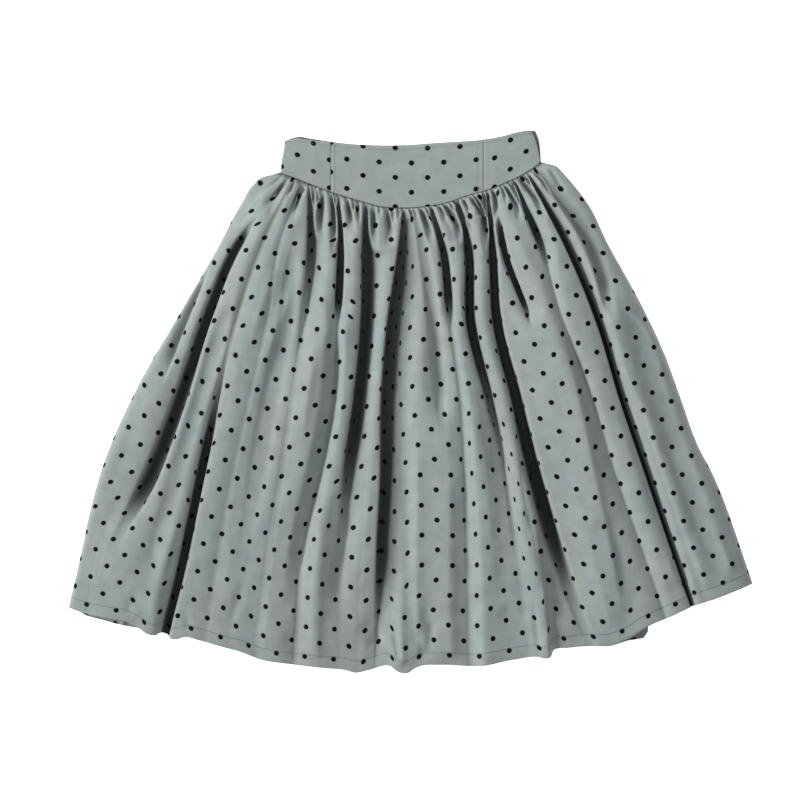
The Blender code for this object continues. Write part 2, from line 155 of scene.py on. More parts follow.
def makePiece(name, points, faces, uv=None, values=None):
    mesh = bpy.data.meshes.new(name)
    mesh.from_pydata(toFrame(points).tolist(), [], [tuple(int(k) for k in f) for f in faces])
    corner = np.empty(len(mesh.loops), int)
    mesh.loops.foreach_get("vertex_index", corner)
    if uv is not None:
        layer = mesh.uv_layers.new(name="clothPlace")
        layer.data.foreach_set("uv", (np.asarray(uv, float).reshape(-1, 2)[corner] * mm).ravel())
    for label, numbers in (values or {}).items():
        attribute = mesh.attributes.new(label, "FLOAT", "POINT")
        attribute.data.foreach_set("value", np.asarray(numbers, float).ravel())
    mesh.shade_smooth()
    piece = bpy.data.objects.new(name, mesh)
    bpy.context.collection.objects.link(piece)
    return piece


def gridFaces(rows, columns, offset=0, flip=False):
    index = np.arange(rows * columns).reshape(rows, columns) + offset
    a, b, c, d = index[:-1, :-1], index[1:, :-1], index[1:, 1:], index[:-1, 1:]
    faces = np.stack([a, d, c, b] if flip else [a, b, c, d], -1)
    return faces.reshape(-1, 4).tolist()


def normalsOf(grid):
    across, along = np.gradient(grid, axis=1), np.gradient(grid, axis=0)
    normal = np.cross(across, along)
    return unit(normal * np.sign(normal[..., 2:].mean()))


farAway = {"high": 20.0, "hem": -200.0, "seam": 99.0}  # stored on cloth that lies away from folds, hem and seam


def makeSlab(name, top, bottom, places, inside, hem=None):  # two layers, closed round their rim
    rows, columns = top.shape[:2]
    count = rows * columns
    faces = gridFaces(rows, columns) + gridFaces(rows, columns, offset=count, flip=True)
    index = np.arange(count).reshape(rows, columns)
    rim = [*index[:, 0], *index[-1, 1:], *index[-2::-1, -1], *index[0, -2:0:-1]]
    faces += [(b, a, a + count, b + count) for a, b in zip(rim, rim[1:] + rim[:1])]
    points = np.concatenate([top.reshape(-1, 3), bottom.reshape(-1, 3)])
    values = {label: np.full(2 * count, far) for label, far in farAway.items()}
    values["closed"] = np.repeat([inside, 0.0], count)  # painted shade: how much the top lies in the shade of what covers it
    if hem is not None:
        values["hem"] = np.tile(hem.ravel(), 2)
    return makePiece(name, points, faces, np.tile(places.reshape(-1, 2), (2, 1)), values)


# The gathered panels. Each fold is the valley between two ridges.
pattern = {
    "pitch": (40.0, 39.2), "dotWide": 7.0,
    "dotsAt": [(5, (35.6, 545)), (6, (341, 471.5))],  # a dot's place up to each of these parts
}

folds = {
    "downs": (150, 250, 350, 450, 550, 650),
    # across where it leaves the seam, and at each of those depths
    "paths": [
        (-164, -244, -291, -329, -368, -408, -424), (-158, -221, -263, -295, -333, -383, -402),
        (-154, -205, -242, -271, -300, -327, -347), (-150, -191, -225, -250, -271, -292, -316),
        (-139, -169, -185, -208, -230, -248, -264), (-135, -148, -160, -180, -198, -214, -228),
        (-131, -130, -138, -153, -168, -184, -196), (-94, -90, -94, -99, -118, -139, -146),
        (-57, -57, -58, -67, -81, -88, -91), (-8, -12, -26, -34, -35, -40, -43),
        (5, 16, 31, 40, 44, 46, 48), (26, 42, 53, 67, 73, 76, 78), (60, 75, 79, 103, 125, 139, 152),
        (100, 107, 114, 138, 162, 191, 228), (112, 121, 156, 186, 222, 256, 290),
        (134, 170, 198, 234, 268, 304, 338), (152, 202, 243, 273, 307, 341, 376),
        (163, 229, 259, 291, 326, 363, 396), (166.5, 243, 289, 321, 357, 393, 422),
    ],
    # opens, full, fades, closes, depth, faint, half width left, right, lean left, right, soft left, right,
    # narrows, ridge
    "shapes": [
        (162, 208, 286, 345, 0.75, 0.05, 12, 4, 0, 4, 0.7, 0.3, 1, 0.8),
        (110, 150, 455, 559, 1, 0, 5.5, 4, 0, 7, 0.6, 0.3, 3, 0.95),
        (200, 300, 520, 620, 0.35, 0.05, 10, 10, 0, 0, 0.7, 0.7, 1.4, 1),
        (273, 430, 680, 760, 1, 0.22, 7, 7.5, 2, 6, 0.45, 0.25, 1.1, 0.95),
        (0, 1, 80, 130, 0.85, 0.15, 5, 5, 0, 0, 0.4, 0.5, 2, 0.95),
        (120, 200, 420, 600, 0.35, 0.06, 9, 9, 0, 0, 0.7, 0.7, 1.8, 0.95),
        (0, 1, 120, 330, 0.92, 0.2, 5.5, 8, 5, 0, 0.3, 0.9, 2, 1),
        (0, 1, 215, 262, 0.95, 0.35, 6, 5.5, 4, 4, 0.35, 0.3, 1.8, 1.05),
        (0, 1, 380, 620, 1, 0.1, 8.5, 8, 6, 0, 0.3, 0.9, 1.2, 0.74),
        (0, 1, 540, 740, 0.95, 0.1, 5, 11, 8, 0, 0.3, 1, 1.2, 1),
        (0, 1, 325, 403, 0.5, 0.02, 7, 7, 0, 0, 0.7, 0.6, 1.5, 0.95),
        (0, 1, 215, 266, 0.95, 0.3, 7, 6, 4, 5, 0.4, 0.3, 1.5, 1.1),
        (0, 1, 250, 570, 0.98, 0.12, 8.5, 7, 5, 4, 0.4, 0.5, 1, 1),
        (0, 1, 500, 710, 1, 0.15, 6.5, 6.5, 4, 7, 0.5, 0.3, 2.2, 0.95),
        (88, 140, 221, 258, 0.95, 0, 5, 5.5, 4, 4, 0.3, 0.3, 1, 1.05),
        (0, 1, 130, 195, 0.95, 0.3, 7, 5, 5, 0, 0.3, 0.5, 1, 1),
        (0, 1, 740, 790, 1, 0, 3.6, 4.6, 5, 0, 0.2, 0.8, 0.5, 0.95),
        (0, 1, 200, 260, 0.6, 0.1, 6, 15, 4, 0, 0.4, 0.7, 1, 0.95),
        (180, 280, 480, 600, 0.35, 0.05, 12, 12, 0, 0, 0.7, 0.7, 1.3, 0.9),
    ],
    "leftRidge": 0.5,  # the one left of the first fold
    "closingWidth": 0.45, "closingSoft": 0.85,  # how narrow and how soft a valley is where it closes
    # small gathers: across at the seam, length, depth, half width, drift across
    "gathers": [
        (-164, 12, 0.8, 1.6, -0.3), (-156, 22, 0.85, 2, -0.4), (-149, 10, 0.8, 1.4, 0.1), (-138, 26, 0.9, 2.3, -0.15),
        (-127, 15, 0.85, 1.8, 0.1), (-121, 9, 0.8, 1.1, 0), (-113, 38, 0.9, 3, -0.2), (-103, 44, 0.9, 2.1, 0.1),
        (-98, 10, 0.8, 1.3, 0.2), (-82, 24, 0.88, 2.6, 0.15), (-74, 9, 0.8, 1.2, 0), (-66, 14, 0.8, 1.6, -0.2),
        (-48, 34, 0.9, 2.8, -0.1), (-40, 9, 0.8, 1.3, 0), (-31, 30, 0.9, 2.5, 0.2), (-23, 13, 0.85, 1.7, 0.1),
        (-15, 9, 0.8, 1.1, 0), (-1, 13, 0.8, 1.6, 0.2), (13, 32, 0.85, 2.6, 0.1), (20, 11, 0.8, 1.3, 0.1),
        (36, 14, 0.85, 1.8, 0.2), (43, 36, 0.88, 2.6, 0.35), (51, 12, 0.8, 1.5, 0.2), (67, 15, 0.8, 1.6, 0.3),
        (76, 46, 0.85, 2.4, 0.5), (82, 40, 0.85, 2, 0.3), (88, 12, 0.8, 1.3, 0.3), (95, 22, 0.85, 2, 0.3),
        (106, 24, 0.85, 1.9, 0.3), (117, 12, 0.85, 1.2, 0.3), (121, 26, 0.88, 1.8, 0.4), (127, 12, 0.8, 1.2, 0.4),
        (131, 20, 0.8, 1.3, 0.5), (141, 28, 0.88, 2.2, 0.3), (148, 11, 0.8, 1.4, 0.3), (157, 20, 0.85, 1.8, 0.4),
    ],
    "gatherSpreads": 32.0,  # the length over which one grows by its own width
    "gatherHolds": (0.3, 2.3),  # how many of its lengths it holds for, and ends at
    "clear": 0.2,  # share of a stretch that a gather keeps from the valleys beside it
    # share of the length, height of the ridges
    "rise": [(0, 0.4), (0.006, 4.5), (0.02, 9), (0.045, 13), (0.09, 18), (0.2, 25), (0.45, 27), (0.75, 21), (1, 14)],
    "wallPower": 4.5,
    "gatherSoft": 0.3,
    "shoulderPower": 1.8, "shoulderSpread": 3.0,
    "room": (0.4, 0.5),  # shares of the room up to the next valley that the wall and the shoulder may fill
    "widest": 120.0,
    "shallow": (1.2, 0.12),  # a shallow valley bounds that room less: by this much of its depth, and this at least
    "seamWidth": 0.45, "wideBy": 0.11,  # share of its width at the seam, and share of the length where it is full
    "leansBy": 0.125,
    "mostLean": 0.8, "leanFrom": 0.6, "leanTo": 2.2,  # in half widths
    "joining": 3.0,
    "sideRoll": 45.0, "rollPower": 2.2,  # the rounding towards the side edges
    "length": 600.0,
    "hemTurn": 15.0,
    "hemLift": (0.8, 1.0),  # from this share of the length the cloth rises by this, over its turned-up hem
    "hiding": (1, 8, 9, 12, 13, 16),  # the valleys that take cloth in over most of their length
    "hides": (0.5, 0.85),  # how closed the cloth is where it starts to be out of sight, and where all of it is
    "packs": (0.02, 6.0),  # least and most cloth in a hidden millimetre
    "leastCloth": 0.9,  # share of the cloth in sight that a stretch has at least
    "leastShut": 1e-6,
    "sharesOutAt": 0.33,  # share of the length where the columns are shared out
    "evens": 0.03,  # share of the length over which the cloth's run evens out
    "fine": 2400,  # points on each line that the shapes are worked out on
    "columns": 570, "leastColumns": 6,
}

fineShares = np.linspace(0, 1, folds["fine"])


def roomBeside(places, depths, side):
    away = (places[None, :] - places[:, None]) * side
    most, least = folds["shallow"]
    reach = np.where(away > 0, away / np.clip(most * depths, least, 1), folds["widest"])
    return np.minimum(reach.min(axis=1), folds["widest"])


def trough(offset, width, room, soft):
    wallRoom, shoulderRoom = folds["room"]
    width = np.minimum(width, wallRoom * room)
    spread = np.minimum(folds["shoulderSpread"] * width, shoulderRoom * room)
    wall = np.exp(-np.abs(offset / width) ** folds["wallPower"])
    shoulder = np.exp(-np.abs(offset / spread) ** folds["shoulderPower"])
    return (1 - soft) * wall + soft * shoulder, width


def valleyCrossings(flat, v, seam):
    places = []
    for path in folds["paths"]:
        seamDown = np.interp(path[0], seam[:, 0], seam[:, 1])
        across = blend(path, (seamDown, *folds["downs"]), flat[:, 1])
        beyond = flat[:, 0] - (across if v else path[0])
        k = max(int(np.argmax(beyond > 0)), 1)
        places.append(k - 1 - beyond[k - 1] / (beyond[k] - beyond[k - 1]))
    return np.array(places)


def foldsAcross(v, flat, run, valleys, small):  # each valley and gather on the crosswise line at share v
    found = []
    widened = min(1, folds["seamWidth"] + (1 - folds["seamWidth"]) * v / folds["wideBy"])
    for shape, place in zip(folds["shapes"], valleys[1:-1]):
        opens, full, fades, closes, deep, faint, left, right, leanLeft, leanRight, *soft, narrows, _ = shape
        down = np.interp(place, run, flat[:, 1])
        opened = ramp(opens, full, down) * (1 - ramp(fades, closes, down))
        scale = (1 - v + narrows * v) * widened
        lean = opened * min(1, v / folds["leansBy"])
        depth = faint + (deep - faint) * opened
        scale *= folds["closingWidth"] + (1 - folds["closingWidth"]) * opened
        soft = [share + (folds["closingSoft"] - share) * (1 - opened) for share in soft]
        found.append((place, depth, left * scale, right * scale, leanLeft * lean, leanRight * lean, *soft, 1))
    below = v * folds["length"]
    holds, ends = folds["gatherHolds"]
    k = np.searchsorted(valleys, small) - 1
    nearest = np.minimum(small - valleys[k], valleys[k + 1] - small)
    clear = np.minimum(folds["clear"] * (valleys[k + 1] - valleys[k]), nearest)
    drifts = np.array([drift * min(below, length) for _, length, _, _, drift in folds["gathers"]])
    small = np.clip(small + drifts, valleys[k] + clear, valleys[k + 1] - clear)
    for (_, length, deep, width, _), place in zip(folds["gathers"], small):
        width *= 1 + below / folds["gatherSpreads"]
        opened = 1 - ramp(holds * length, ends * length, below)
        soft = folds["gatherSoft"] + (folds["closingSoft"] - folds["gatherSoft"]) * (1 - opened)
        found.append((place, deep * opened, width, width, 0, 0, soft, soft, 0))
    return np.array(sorted(found)).T


class Panel:  # one crosswise line of the front after another, with what they share
    def __init__(self):
        self.seam = lineThrough(layout["seam"], fineShares)
        self.seamRun = runAlong(self.seam)
        crossings = valleyCrossings(self.seam, 0, self.seam)
        steps = np.arange(folds["fine"])
        self.atSeam = np.r_[0, np.interp(crossings, steps, self.seamRun), self.seamRun[-1]]
        self.gathersAt = np.interp([g[0] for g in folds["gathers"]], self.seam[:, 0], self.seamRun)

    def line(self, v):
        flat = patch(layout["seam"], layout["hem"], layout["leftSide"], layout["rightSide"], fineShares, v)
        run = runAlong(flat)
        crossings = valleyCrossings(flat, v, self.seam)
        valleys = np.r_[0, np.interp(crossings, np.arange(len(run)), run), run[-1]]
        small = np.interp(self.gathersAt, self.atSeam, valleys)
        ridges = [folds["leftRidge"]] + [shape[-1] for shape in folds["shapes"]]
        height = blend([r[1] for r in folds["rise"]], [r[0] for r in folds["rise"]], v)
        rise = height * np.interp(run, middlesOf(valleys), ridges)
        edge = np.minimum(np.minimum(run, run[-1] - run) / min(folds["sideRoll"], run[-1] / 2), 1)
        rise *= np.sqrt(1 - (1 - edge) ** folds["rollPower"])
        found = foldsAcross(v, flat, run, valleys, small)
        places, depths, lefts, rights, leanLefts, leanRights, softLefts, softRights, large = found
        roomLeft, roomRight = (roomBeside(places, depths, side) for side in (-1, 1))
        offset = run[:, None] - places
        before = offset < 0
        room, soft = np.where(before, roomLeft, roomRight), np.where(before, softLefts, softRights)
        dip, width = trough(offset, np.where(before, lefts, rights), room, soft)
        joined = (depths * dip) ** folds["joining"]
        closed = joined.sum(axis=1) ** (1 / folds["joining"])
        plainClosed = (joined * large).sum(axis=1) ** (1 / folds["joining"])  # without the small gathers
        openShare = np.maximum(1 - closed, 0)
        near = np.exp(-((offset / (folds["leanTo"] * width)) ** 2))
        near *= np.tanh(np.abs(offset) / (folds["leanFrom"] * width))
        most = folds["mostLean"] * width
        lean = np.where(before, np.minimum(leanLefts, most), -np.minimum(leanRights, most))
        along = np.gradient(flat, run, axis=0)
        along /= np.hypot(*along.T)[:, None]
        flat = flat + along * ((lean * near).sum(axis=1) * openShare)[:, None]
        liftFrom, lift = folds["hemLift"]
        turn = 1 - folds["hemTurn"] / folds["length"]
        floor = layout["backWall"] + layout["gap"] + layout["wall"] / 2 + lift * ramp(liftFrom, turn, v)
        points = np.column_stack([flat, floor + rise * openShare])
        length = runAlong(points)
        plain = runAlong(np.column_stack([flat, rise * np.maximum(1 - plainClosed, 0)]))
        everyMark = np.sort(np.r_[valleys, small])
        return {
            "points": points, "length": length, "closed": closed, "rise": rise,
            "plain": plain, "plainClosed": plainClosed,
            "marks": np.interp(everyMark, run, length),
            "parts": np.interp(valleys, run, plain)[[0, *(k + 1 for k in folds["hiding"]), -1]],
        }


def seenAndShut(line):  # how much cloth shows and is hidden, up to each point and at each half stretch
    hidden = ramp(*folds["hides"], line["plainClosed"])
    step = np.diff(line["plain"])
    shut = np.r_[0, np.cumsum(middlesOf(hidden) * step)]
    seen = line["plain"] - shut
    edges = line["parts"]
    seenAt = np.interp(edges, line["plain"], seen)
    middles = np.interp(middlesOf(seenAt), seen, line["plain"])
    return seen, shut, np.sort(np.r_[edges, middles])


def clothAcross(line, stops, wide):  # places on the cloth: true to size on the ridges, the rest is hidden in the walls
    seen, shut, halves = seenAndShut(line)
    seenAt, shutAt = (np.interp(halves, line["plain"], run) for run in (seen, shut))
    seenRun, shutRun = np.diff(seenAt), np.maximum(np.diff(shutAt), folds["leastShut"])
    needed = np.repeat(wide / 2, 2)
    outer = [0, 1, 2, -2, -1]  # towards the sides the cloth is as wide as it lies
    needed[outer] = (seenRun + shutRun)[outer]
    rate = np.clip((needed - seenRun) / shutRun, *folds["packs"])
    scale = (needed - rate * shutRun) / seenRun
    starts = np.r_[0, np.cumsum(needed)] - needed[:3].sum() + wide[1] / 2 - wide[1:-1].sum() / 2
    k = np.clip(np.searchsorted(halves, stops, side="right") - 1, 0, len(needed) - 1)
    onward = scale[k] * (np.interp(stops, line["plain"], seen) - seenAt[k])
    return starts[k] + onward + rate[k] * (np.interp(stops, line["plain"], shut) - shutAt[k])


def layRows(shares):
    panel = Panel()
    lines = [panel.line(v) for v in shares]
    spacing = np.diff(lines[int(np.argmin(np.abs(shares - folds["sharesOutAt"])))]["marks"])
    counts = np.maximum(folds["leastColumns"], np.round(spacing * folds["columns"] / spacing.sum())).astype(int)
    wide = np.diff(lines[-1]["parts"])
    for line in lines:
        seen, _, halves = seenAndShut(line)
        shown = np.diff(np.interp(halves, line["plain"], seen))
        wide = np.maximum(wide, folds["leastCloth"] * (shown[::2] + shown[1::2]))
    rows = {"points": [], "across": [], "closed": [], "rise": []}
    for line in lines:
        spans = zip(line["marks"], line["marks"][1:], counts)
        stops = np.concatenate([np.linspace(a, b, n, endpoint=False) for a, b, n in spans])
        stops = np.r_[stops, line["length"][-1]]
        rows["points"].append(pointsAt(stops, line["length"], line["points"]))
        for label in ("closed", "rise"):
            rows[label].append(np.interp(stops, line["length"], line[label]))
        places = np.interp(stops, line["length"], line["plain"])
        rows["across"].append(clothAcross(line, places, wide))
    apart = (shares[:, None] - shares) / folds["evens"]
    weights = np.exp(-(apart**2)) * np.gradient(shares)
    rows["across"] = weights @ np.array(rows["across"]) / weights.sum(axis=1, keepdims=True)
    stretch = np.clip(np.searchsorted(lines[-1]["parts"], places, side="right") - 1, 0, len(wide) - 1)
    return {label: np.array(grid) for label, grid in rows.items()} | {"stretch": stretch}


def addCreases(grid, creases):  # short soft ridges and troughs: from, to, half width, height
    for (x0, y0), (x1, y1), width, height in creases:
        dx, dy = x1 - x0, y1 - y0
        long = math.hypot(dx, dy)
        t = ((grid[..., 0] - x0) * dx + (grid[..., 1] - y0) * dy) / long**2
        off = ((grid[..., 0] - x0) * dy - (grid[..., 1] - y0) * dx) / long
        ends = np.exp(-(np.maximum(np.abs(t - 0.5) - front["creaseHolds"], 0) / front["creaseEnds"]) ** 2)
        grid[..., 2] += height * np.exp(-((off / width) ** 2)) * ends


def addRolls(grid, rolls):  # long soft folds: places, half width left and right, height, runs in and out over
    for line, left, right, height, runsIn, runsOut in rolls:
        across, down = np.array(line, float).T
        centre = blend(across, down, grid[..., 1])
        slope = (across[-1] - across[0]) / (down[-1] - down[0])
        off = (grid[..., 0] - centre) / math.hypot(1, slope)
        profile = np.exp(-(np.abs(off / np.where(off < 0, left, right)) ** front["rollPower"]))
        fade = ramp(down[0], down[0] + runsIn, grid[..., 1]) * (1 - ramp(down[-1] - runsOut, down[-1], grid[..., 1]))
        grid[..., 2] += front["rollsBy"] * height * profile * fade


def placePattern(grid, across, down, stretch):  # moves each part's cloth until a dot lies where it should
    first = 0
    for last, place in pattern["dotsAt"]:
        columns = np.flatnonzero((stretch >= first) & (stretch <= last))
        inside = slice(columns[0], columns[-1] + 1)
        here = grid[:, inside, :2]
        away = np.hypot(*(here - place).transpose(2, 0, 1))
        i, j = np.unravel_index(away.argmin(), away.shape)
        i, j = min(max(i, 1), len(grid) - 2), min(max(j, 1), here.shape[1] - 2)
        steps = np.array([here[i, j + 1] - here[i, j - 1], here[i + 1, j] - here[i - 1, j]]).T
        a, b = np.linalg.solve(steps, np.array(place) - here[i, j])
        for values, pitch in zip((across[:, inside], down[:, inside]), pattern["pitch"]):
            there = a * (values[i, j + 1] - values[i, j - 1]) + b * (values[i + 1, j] - values[i - 1, j])
            there += values[i, j]
            values -= there - pitch * round(there / pitch)
        first = last + 1


front = {
    "rowsAt": [(0, 0.02, 12), (0.02, 0.1, 30), (0.1, 0.93, 88), (0.93, 1, 15)],  # from share, to share, rows
    "ripple": 0.9,
    "rippleLayers": [(34, 130, 7, 3, 5, 1), (17, 60, 3, 0, 8, 0.6)],
    "wrinkle": 0.9,  # short ripples, which grow towards the hem
    "wrinkleLayers": [(27, 24, 11, 5, 17, 1), (15, 15, 0, 9, 19, 0.5)],
    "wrinkleLeast": 0.35,
    "wrinkleGrows": (-260, -40),
    "fullyOpen": 12.0,  # the height from which ripples are full
    "lowest": 0.4,  # over the back panel
    "hemThick": 1.7,
    "hemAngles": (0.8, 1.57, 2.4),  # rows round the turned edge
    "hemRows": 4,  # from the edge to the next row inside
    "hemRun": (1, 1.6, 2.2, 3, 8, 18),  # cloth past the edge, up to each of those rows
    "creaseHolds": 0.3, "creaseEnds": 0.14,  # shares of a crease's length
    "creases": [
        ((279, 228), (320, 272), 5, 2.2), ((-46, 322), (-30, 340), 4, 1.8), ((403, 533), (418, 572), 5, 1.4),
        ((-215, 585), (-232, 640), 6, -1.6), ((-44, 640), (-36, 676), 6, -1.8), ((30, 640), (22, 684), 6, -1.8),
        ((-362, 600), (-356, 632), 5, 1.4), ((-292, 622), (-286, 650), 5, -1.3), ((214, 500), (244, 512), 7, 1.6),
        ((-250, 560), (-205, 580), 7, -1.2), ((120, 620), (150, 640), 9, -1.4), ((-160, 620), (-120, 640), 9, 1.2),
        ((17, 622), (32, 652), 8, -3), ((-20, 652), (-14, 690), 4, -3), ((8, 650), (18, 690), 6, -2.6),
        ((160, 612), (168, 682), 4, -2), ((-60, 640), (-40, 670), 12, -3), ((-356, 596), (-364, 630), 7, -2.4),
        ((-212, 620), (-196, 650), 12, -2), ((330, 556), (352, 590), 6, 1.3), ((50, 600), (84, 604), 9, 1.1),
        ((-62, 590), (-28, 600), 9, -1.1),
        ((54, 94), (76, 132), 4.5, 4), ((44, 104), (60, 150), 6, -3), ((96, 88), (112, 132), 5, -3),
        ((174, 50), (190, 74), 3, 2), ((182, 50), (201, 82), 3, -1.6), ((-176, 66), (-196, 96), 5, 2),
        ((-166, 74), (-184, 112), 4, -2), ((-120, 92), (-106, 150), 8, -3), ((-92, 100), (-78, 160), 7, -3),
        ((-120, 500), (-146, 540), 8, 1.4), ((170, 330), (196, 372), 8, 1.2),
        # the pinches along the seam
        ((-145, 64), (-136, 82), 2, -2.6), ((-135, 67), (-141, 90), 2.4, -2.4), ((-122, 74), (-129, 98), 2, -2.6),
        ((-115, 76), (-121, 94), 1.8, -2.2), ((-105, 78), (-99, 104), 2, -2.8), ((-95, 82), (-87, 99), 1.8, -2.4),
        ((-90, 84), (-94, 97), 1.6, 1.6), ((-70, 92), (-65, 122), 2.2, -2.4), ((-54, 96), (-49, 112), 1.7, -2.2),
        ((-46, 98), (-42, 121), 2, -2.4), ((-28, 100), (-20, 124), 2.2, -2.6), ((-10, 101), (-15, 115), 1.6, -2),
        ((27, 98), (36, 118), 2, -2.4), ((43, 96), (50, 114), 1.8, -2.4), ((57, 93), (82, 128), 2.6, -2.6),
        ((62, 91), (66, 108), 1.8, -2), ((75, 85), (70, 98), 1.7, -2.2), ((95, 80), (103, 103), 2.2, -2.8),
        ((106, 77), (110, 94), 1.8, -2.2), ((120, 70), (132, 88), 2, -2.6), ((127, 67), (136, 81), 1.6, -2),
        ((139, 62), (153, 84), 2.4, -2.4), ((154, 53), (169, 71), 2.4, -2.2), ((88, 82), (84, 110), 2, 1.8),
    ],
    # long soft folds: places, half width left, right, height, runs in over, runs out over
    "rolls": [
        ([(75, 345), (82, 430), (88, 490), (93, 585), (96, 720)], 8, 20, 3.2, 70, 10),
        ([(128, 360), (143, 436), (158, 490), (171, 585), (181, 700)], 22, 5, 5.0, 110, 10),
        ([(182, 190), (203, 286), (221, 365), (236, 440), (257, 535), (275, 640)], 24, 8, 3.6, 90, 60),
        ([(299, 351), (325, 429), (357, 520), (388, 600)], 7, 16, 3.0, 60, 20),
        ([(231, 160), (244, 199), (260, 257), (281, 316), (303, 364), (330, 430)], 9, 18, 3.4, 60, 80),
        ([(-171, 170), (-187, 216), (-199, 254), (-214, 300)], 9, 12, 2.2, 40, 60),
        ([(-150, 180), (-158, 222), (-172, 259), (-186, 296), (-199, 332)], 10, 9, 2.6, 50, 60),
        ([(-124, 270), (-128, 316), (-134, 354), (-142, 420)], 12, 8, 2.4, 50, 60),
        ([(-84, 232), (-86, 300), (-90, 360), (-100, 440)], 10, 8, 2.6, 60, 70),
        ([(-230, 330), (-246, 400), (-262, 470), (-280, 560), (-296, 640)], 18, 16, 1.5, 80, 40),
        ([(-196, 380), (-204, 450), (-214, 540), (-224, 640)], 18, 22, 1.1, 90, 60),
        ([(-160, 400), (-172, 470), (-182, 560), (-188, 680)], 14, 18, 1.7, 90, 20),
        ([(-110, 420), (-118, 490), (-122, 570), (-122, 690)], 14, 10, 2.2, 90, 20),
        ([(-93, 250), (-98, 350), (-118, 450), (-139, 550), (-146, 620)], 13, 15, -6.0, 60, 120),
        ([(-60, 440), (-74, 500), (-88, 560), (-98, 640)], 12, 16, -3.5, 80, 60),
        ([(-16, 380), (-14, 470), (-12, 560), (-12, 700)], 12, 8, 2.6, 90, 10),
        ([(8, 360), (9, 450), (8, 560), (12, 690)], 6, 10, 1.8, 90, 20),
        ([(52, 400), (50, 500), (50, 600), (54, 690)], 14, 12, 2.2, 90, 20),
        ([(-350, 360), (-366, 410), (-384, 480), (-400, 560), (-412, 640)], 18, 24, -1.7, 90, 20),
        ([(-300, 470), (-316, 540), (-328, 600), (-336, 660)], 12, 10, 2.4, 70, 10),
        ([(210, 440), (222, 500), (240, 570), (262, 650)], 14, 12, 2.2, 80, 20),
        ([(255, 330), (282, 420), (312, 520), (338, 610)], 14, 16, 1.8, 80, 40),
        ([(340, 360), (366, 430), (396, 510), (420, 590)], 14, 12, 2.0, 80, 30),
    ],
    "rollsBy": 1.6,
    "rollPower": 1.7,
    "evenColumns": 40.0,  # how far across the columns' lengths are evened
    # the side edges turn down round the back: outward and up from the edge, then outward and up from the floor
    "wrap": [(0.5, -0.6), (0.5, -1.3)],
    "under": [(-0.6, 0.6), (-2.6, 0.5)],
    "wrapDrop": 0.2,  # least, from row to row
    "wrapRun": 2.0,  # cloth in each row under the edge
    "hemLine": 14.3,  # the stitches, above the edge
}


def makeFront():
    shares = np.concatenate([np.linspace(a, b, n, endpoint=False) for a, b, n in front["rowsAt"]] + [[1.0]])
    rows = layRows(shares)
    grid, across = rows["points"], rows["across"]
    columnLength = np.linalg.norm(np.diff(grid[..., :2], axis=0), axis=-1).sum(axis=0)
    near = np.exp(-(((across[-1][:, None] - across[-1]) / front["evenColumns"]) ** 2))
    columnLength = near @ columnLength / near.sum(axis=1)
    fromHem = (shares[:, None] - 1) * columnLength
    down = fromHem.copy()
    openness = np.clip(rows["rise"] * (1 - rows["closed"]) / front["fullyOpen"], 0, 1)
    middle = np.sin(np.pi * np.clip(shares, 0, 1))[:, None] ** 0.5
    grid[..., 2] += front["ripple"] * layered(across, down, front["rippleLayers"]) * openness * middle
    least = front["wrinkleLeast"]
    grown = least + (1 - least) * ramp(*front["wrinkleGrows"], down)
    grid[..., 2] += front["wrinkle"] * layered(across, down, front["wrinkleLayers"]) * openness * grown
    addCreases(grid, front["creases"])
    addRolls(grid, front["rolls"])
    grid[..., 2] = np.maximum(grid[..., 2], layout["backWall"] + layout["gap"] + front["lowest"])
    normal = normalsOf(grid)
    placePattern(grid, across, down, rows["stretch"])
    # the hem is turned up inside
    edge, inward = grid[-1], unit(grid[-1] - grid[-2])
    thick, last = front["hemThick"], len(shares) - 1
    turned = [
        edge - normal[-1] * thick * (1 - math.cos(a)) / 2 + inward * thick / 2 * math.sin(a)
        for a in front["hemAngles"]
    ]
    under = np.searchsorted(shares, 1 - folds["hemTurn"] / folds["length"])
    inside = [grid[i] - normal[i] * thick for i in (last, last - front["hemRows"], under)]
    full = np.concatenate([grid, turned, inside])
    tail = np.array(front["hemRun"])[:, None]
    across, closed, high = (
        np.concatenate([kept, np.repeat(kept[-1:], len(tail), 0)]) for kept in (across, rows["closed"], rows["rise"])
    )
    down = np.concatenate([down, down[-1:] + tail])
    hem = np.concatenate([fromHem, np.repeat(tail, across.shape[1], 1)])
    full, across = wrapSides(full, across)
    sides = (across.shape[1] - down.shape[1]) // 2
    down, hem, closed, high = (np.pad(kept, ((0, 0), (sides, sides)), "edge") for kept in (down, hem, closed, high))
    piece = makePiece("skirtFront", full, gridFaces(*full.shape[:2]), np.stack([across, down], -1),
                      {"closed": closed, "high": high, "hem": hem, "seam": hem - hem[:1]})
    print("front:", len(piece.data.polygons), "faces, area", round(sum(p.area for p in piece.data.polygons), 3))
    return piece, {"grid": grid, "fromHem": fromHem, "normal": normal}


def wrapSides(full, across):
    for side in (-1, 1):  # turned over for the left side, and back again
        full, across = full[:, ::side], across[:, ::side]
        edge, outward = full[:, -1], full[:, -1] - full[:, -2]
        outward[:, 2] = 0
        outward = unit(outward)
        turned, places, gone = [], [], 0
        for k, (out, up) in enumerate(front["wrap"] + front["under"]):
            point = edge + outward * out
            beside = k < len(front["wrap"])
            point[:, 2] = np.minimum(edge[:, 2] + up if beside else up, edge[:, 2] - front["wrapDrop"] * k)
            gone += math.hypot(out, up) if beside else front["wrapRun"]
            turned.append(point)
            places.append(across[:, -1] + side * gone)
        full = np.concatenate([full, np.stack(turned, 1)], 1)[:, ::side]
        across = np.concatenate([across, np.stack(places, 1)], 1)[:, ::side]
    return full, across


